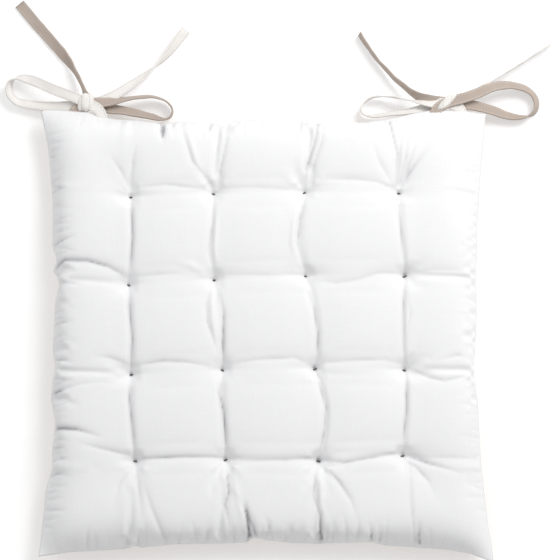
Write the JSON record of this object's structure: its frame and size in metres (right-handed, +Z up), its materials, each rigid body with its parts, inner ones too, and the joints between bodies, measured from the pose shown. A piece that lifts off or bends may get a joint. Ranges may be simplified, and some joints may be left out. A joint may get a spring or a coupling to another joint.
{
  "type": "chair seat pad",
  "caption": "Square tufted cotton seat pad: two puffed panels sewn round a fibre core, stitched through in a grid, with white and beige tie tapes in a bow at each rear corner",
  "frame": {"origin": "under the middle of the pad, on the surface that it rests on", "axes": "+Z up, +Y towards the rear edge that carries the ties, +X to the right seen from the front edge"},
  "size_m": [0.4959, 0.4983, 0.046],
  "materials": {
    "white_cotton": "matte",
    "beige_cotton": "matte",
    "white_tape": "matte",
    "beige_tape": "matte",
    "fibre": "matte",
    "white_thread": "matte",
    "tuft_thread": "matte"
  },
  "bodies": {
    "root": {"top_cover": "white_cotton", "under_cover": "beige_cotton", "fibre_filling": "fibre", "perimeter_seam_thread": "white_thread", "closing_stitch_thread": "white_thread", "left_white_tie": "white_tape", "right_white_tie": "white_tape", "left_beige_tie": "beige_tape", "right_beige_tie": "beige_tape", "left_bow_knot": "white_tape", "right_bow_knot": "white_tape", "left_white_tie_tack": "white_thread", "left_beige_tie_tack": "white_thread", "right_white_tie_tack": "white_thread", "right_beige_tie_tack": "white_thread", "tuft_stitch_r1c1": "tuft_thread", "tuft_stitch_r1c2": "tuft_thread", "tuft_stitch_r1c3": "tuft_thread", "tuft_stitch_r1c4": "tuft_thread", "tuft_stitch_r2c1": "tuft_thread", "tuft_stitch_r2c2": "tuft_thread", "tuft_stitch_r2c3": "tuft_thread", "tuft_stitch_r2c4": "tuft_thread", "tuft_stitch_r3c1": "tuft_thread", "tuft_stitch_r3c2": "tuft_thread", "tuft_stitch_r3c3": "tuft_thread", "tuft_stitch_r3c4": "tuft_thread", "tuft_stitch_r4c1": "tuft_thread", "tuft_stitch_r4c2": "tuft_thread", "tuft_stitch_r4c3": "tuft_thread", "tuft_stitch_r4c4": "tuft_thread"}
  },
  "joints": []
}
